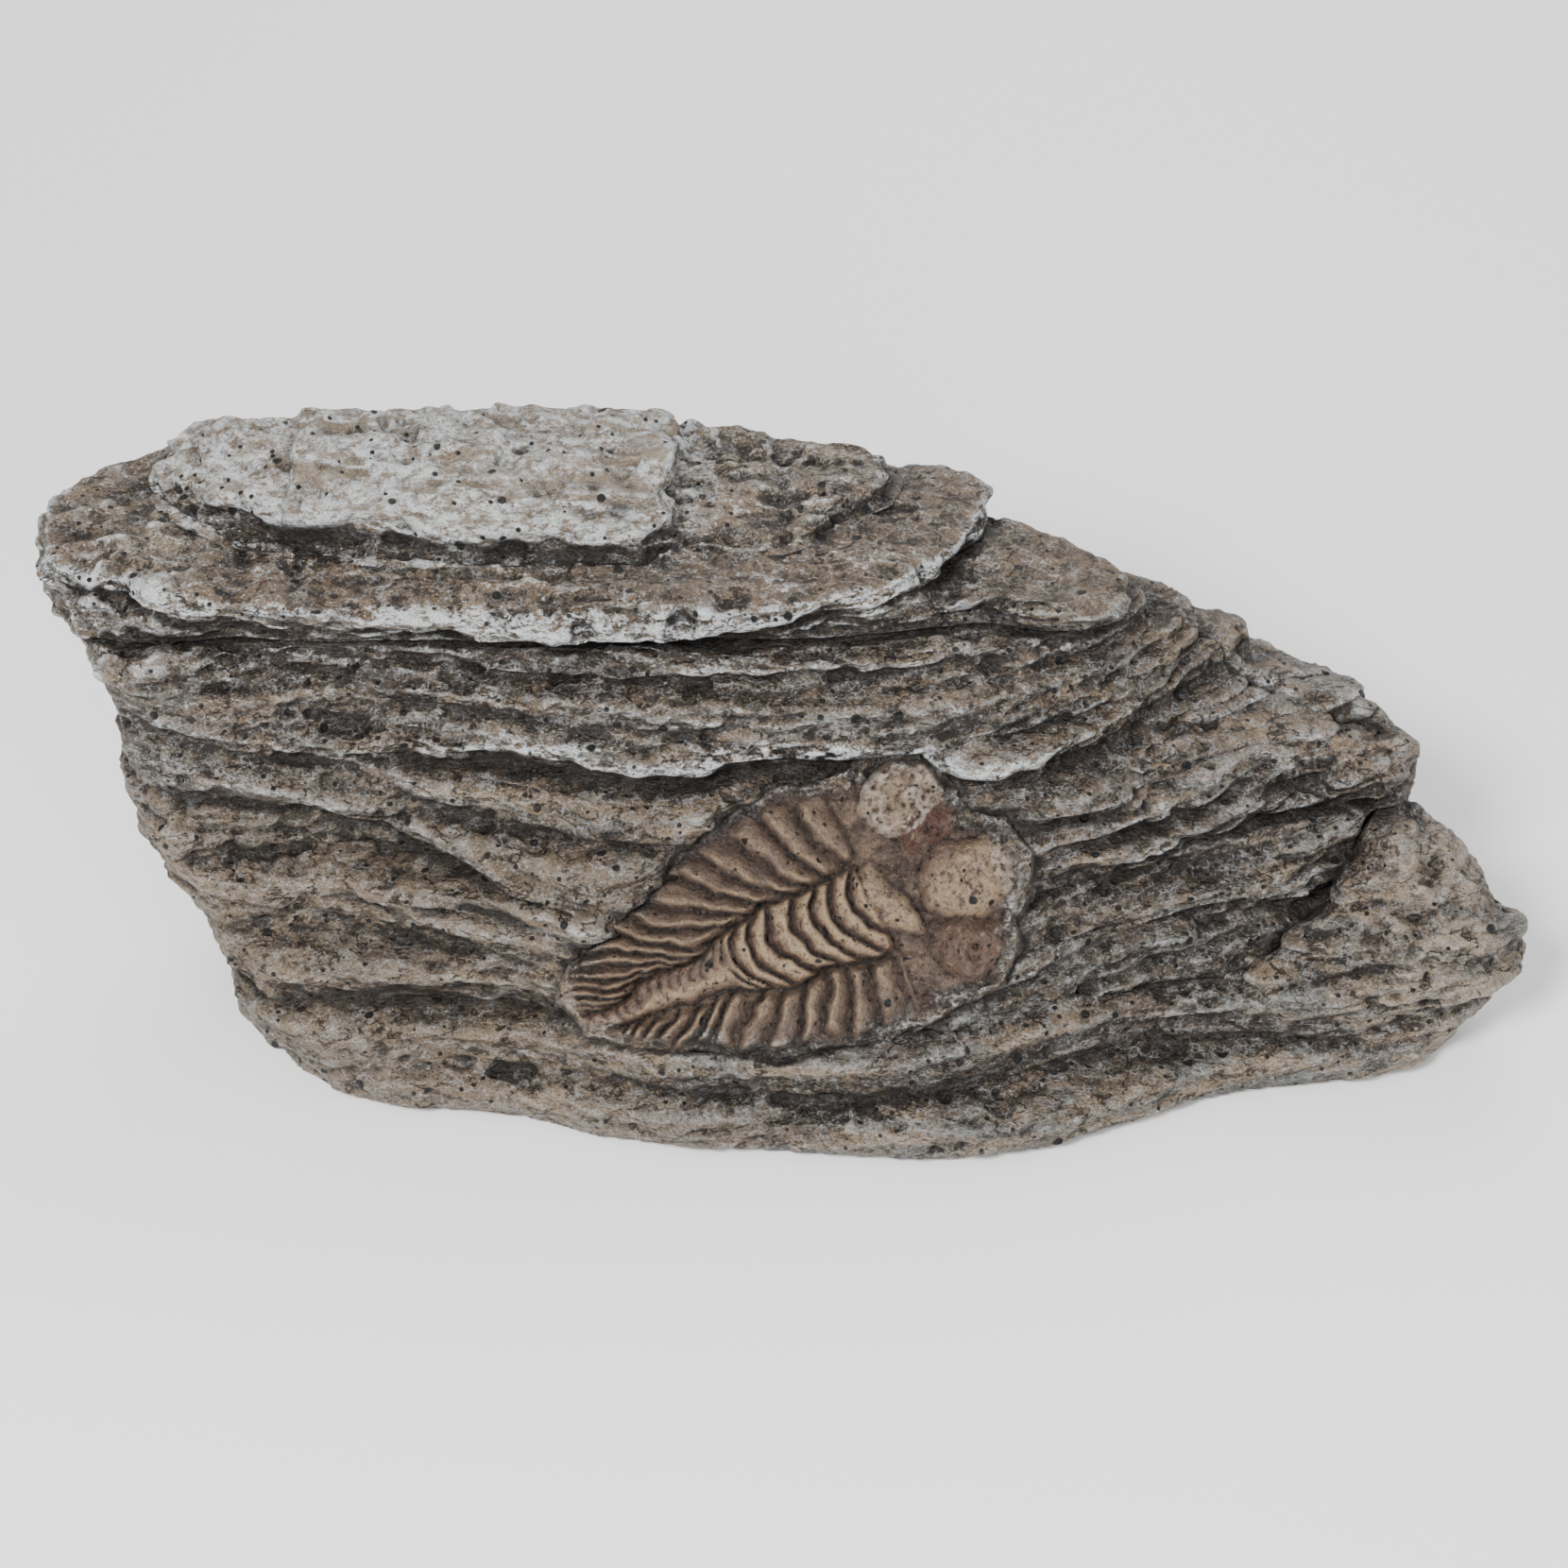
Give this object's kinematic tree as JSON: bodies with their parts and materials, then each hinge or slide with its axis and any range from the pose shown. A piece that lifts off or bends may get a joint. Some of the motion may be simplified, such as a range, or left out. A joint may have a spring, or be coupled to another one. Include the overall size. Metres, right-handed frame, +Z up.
{
  "type": "resin cave ornament",
  "caption": "Hollow rock cave of sheared strata for a pond or aquarium, with a trilobite relief let into its front, a side mouth, a rear mouth and an open floor.",
  "frame": {"origin": "middle of the bounding box on the plane that the pads rest on", "axes": "+X along the length, towards the pointed tip of the base; +Y to the back; +Z up"},
  "size_m": [0.2498, 0.1028, 0.088],
  "materials": {
    "rock_resin": "satin",
    "fossil_resin": "satin",
    "pad_rubber": "matte"
  },
  "bodies": {
    "root": {"base_stratum": "rock_resin", "wall_front": "rock_resin", "wall_rear": "rock_resin", "cap_slab": "rock_resin", "trilobite_inlay": "fossil_resin", "anti_slip_pad_1": "pad_rubber", "anti_slip_pad_2": "pad_rubber", "anti_slip_pad_3": "pad_rubber", "anti_slip_pad_4": "pad_rubber"}
  },
  "joints": []
}
